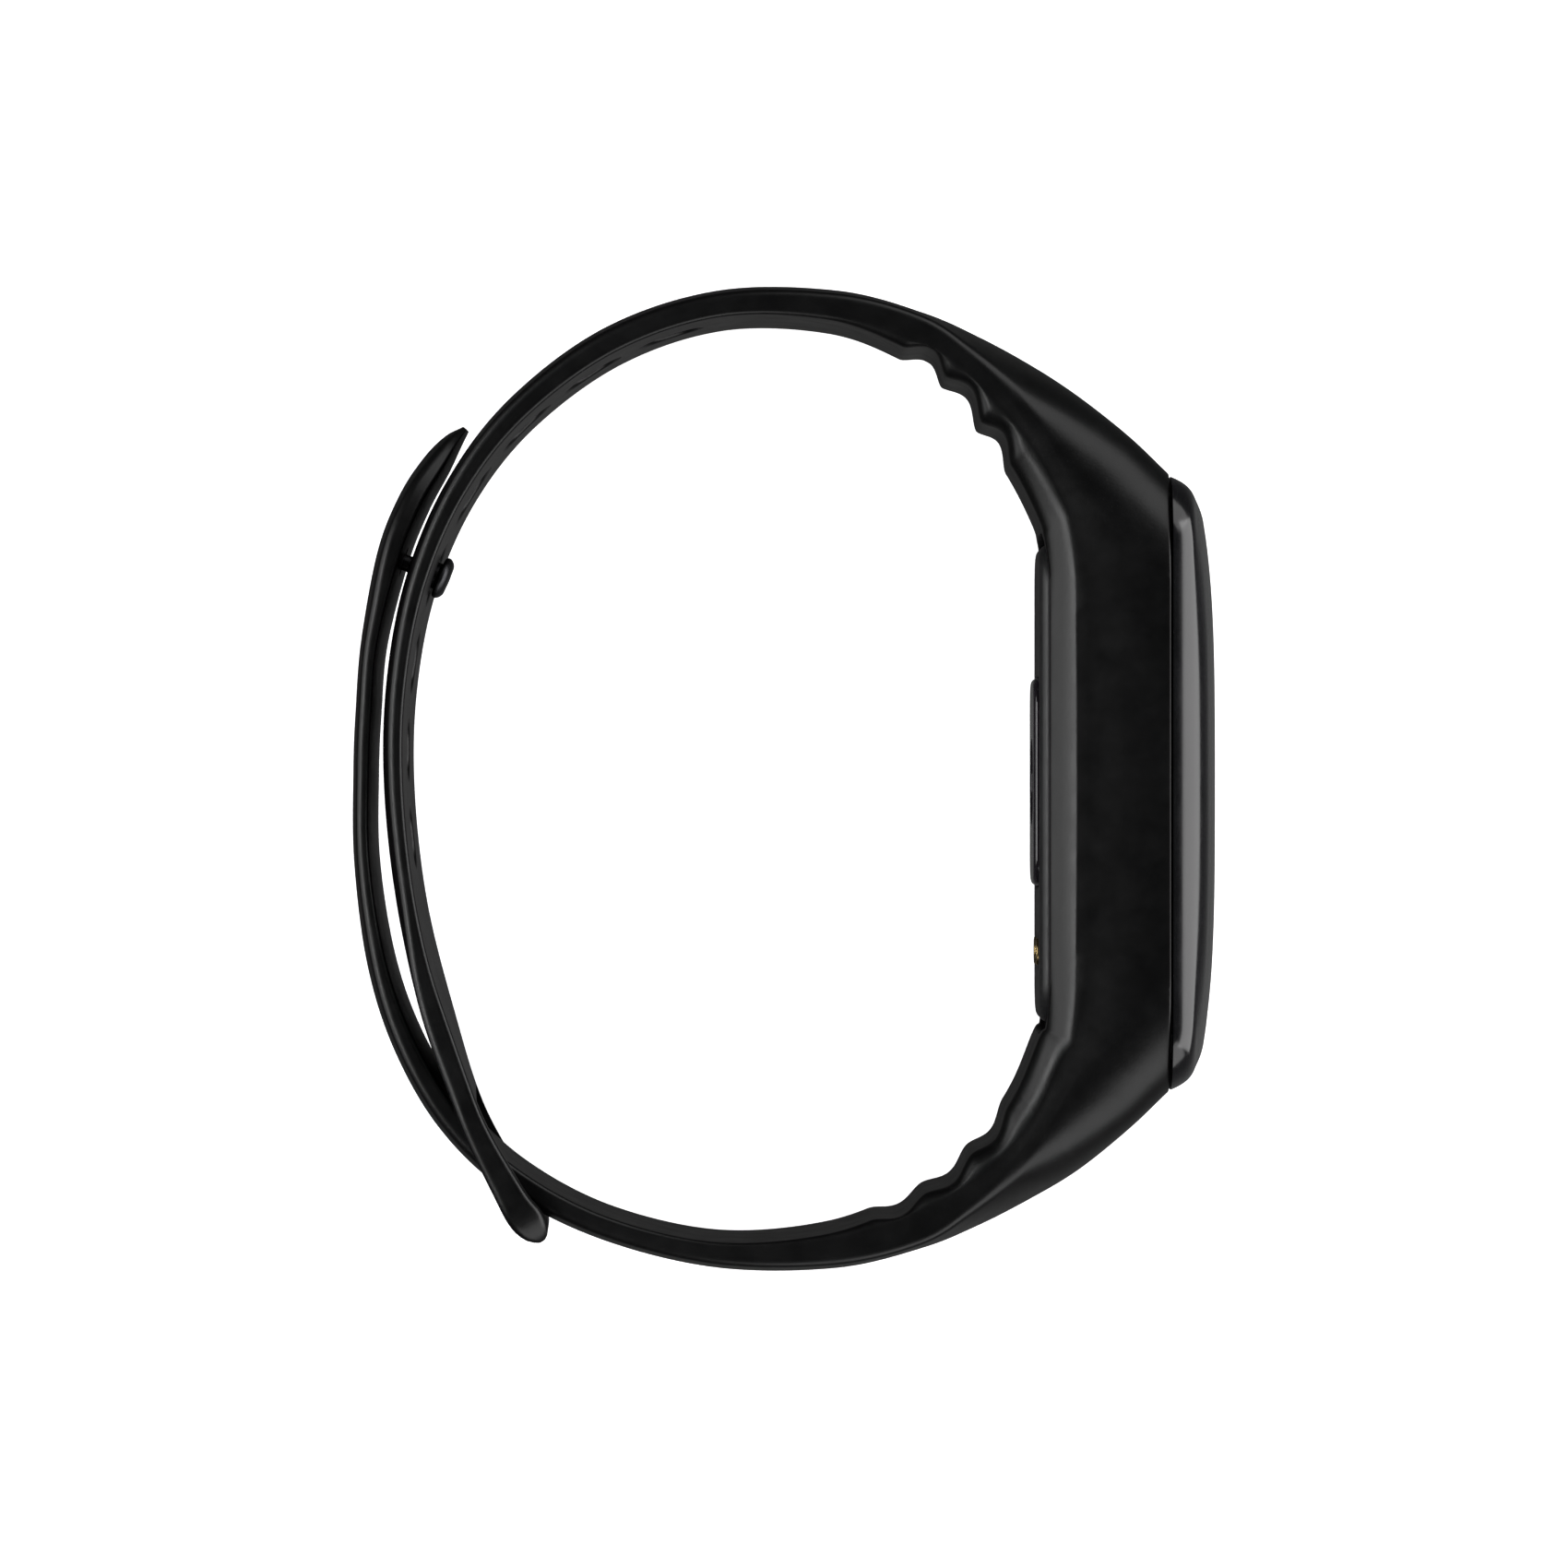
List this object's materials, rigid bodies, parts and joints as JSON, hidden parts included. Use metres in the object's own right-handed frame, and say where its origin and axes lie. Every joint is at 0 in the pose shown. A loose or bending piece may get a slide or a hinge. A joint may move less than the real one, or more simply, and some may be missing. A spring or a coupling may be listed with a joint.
{
  "type": "fitness tracker band",
  "caption": "Slim black fitness tracker band with a glossy capsule held in a soft rubber strap that closes with a loop and a snap stud.",
  "frame": {"origin": "centre of the bounding box of the closed band, on the side face it lies on", "axes": "+Z is the wrist axis, up from the surface the band lies on; +X points out of the capsule's front; +Y is the strap end that carries the loop"},
  "size_m": [0.0576, 0.0656, 0.018],
  "materials": {
    "band_rubber": "soft matte black moulded elastomer",
    "clasp_steel": "dark polished metal with bright edges",
    "cap_gloss": "piano black gloss",
    "case_plastic": "fine satin moulded black",
    "sensor_window": "dark polished window",
    "contact_gold": "gold plated",
    "motor_steel": "drawn steel",
    "rotor_brass": "turned heavy alloy",
    "circuit_board": "green solder mask",
    "chip_black": "moulded chip packages",
    "seal_rubber": "matte sealing rubber",
    "battery_foil": "laminated pouch foil",
    "display_glass": "dark display, switched off",
    "flex_polyimide": "amber flexible circuit",
    "led_lens": "clear green lens"
  },
  "bodies": {
    "band": {"strap_cradle": "band_rubber", "upper_strap": "band_rubber", "lower_strap": "band_rubber"},
    "tongue": {"strap_tongue": "band_rubber", "clasp_plate": "clasp_steel", "clasp_stud": "clasp_steel"},
    "capsule": {"front_cap": "cap_gloss", "back_case": "case_plastic", "light_baffle": "case_plastic", "sensor_window": "sensor_window", "charge_contact_1": "contact_gold", "charge_contact_2": "contact_gold", "touch_pad": "contact_gold", "motor_can": "motor_steel", "motor_base": "motor_steel", "motor_shaft": "motor_steel", "main_board": "circuit_board", "sensor_board": "circuit_board", "processor": "chip_black", "memory_chip": "chip_black", "motion_sensor": "chip_black", "charge_regulator": "chip_black", "chip_antenna": "chip_black", "photodiode": "chip_black", "case_seal": "seal_rubber", "battery": "battery_foil", "display_panel": "display_glass", "display_flex": "flex_polyimide", "pulse_led_1": "led_lens", "pulse_led_2": "led_lens"},
    "rotor": {"motor_rotor": "rotor_brass"}
  },
  "joints": [
    {"name": "tongue_peel", "type": "hinge", "parent": "band", "child": "tongue", "pos_m": [-0.02807, 0.0015, 0.009], "axis": [0, 0, 1], "range_deg": [0, 50], "stiffness_Nm_per_rad": 0.005},
    {"name": "capsule_release", "type": "slide", "parent": "band", "child": "capsule", "axis": [1, 0, 0], "range_m": [0, 0.014]},
    {"name": "rotor_spin", "type": "hinge", "parent": "capsule", "child": "rotor", "pos_m": [0.02105, -0.0106, 0.009], "axis": [1, 0, 0], "continuous": true}
  ]
}
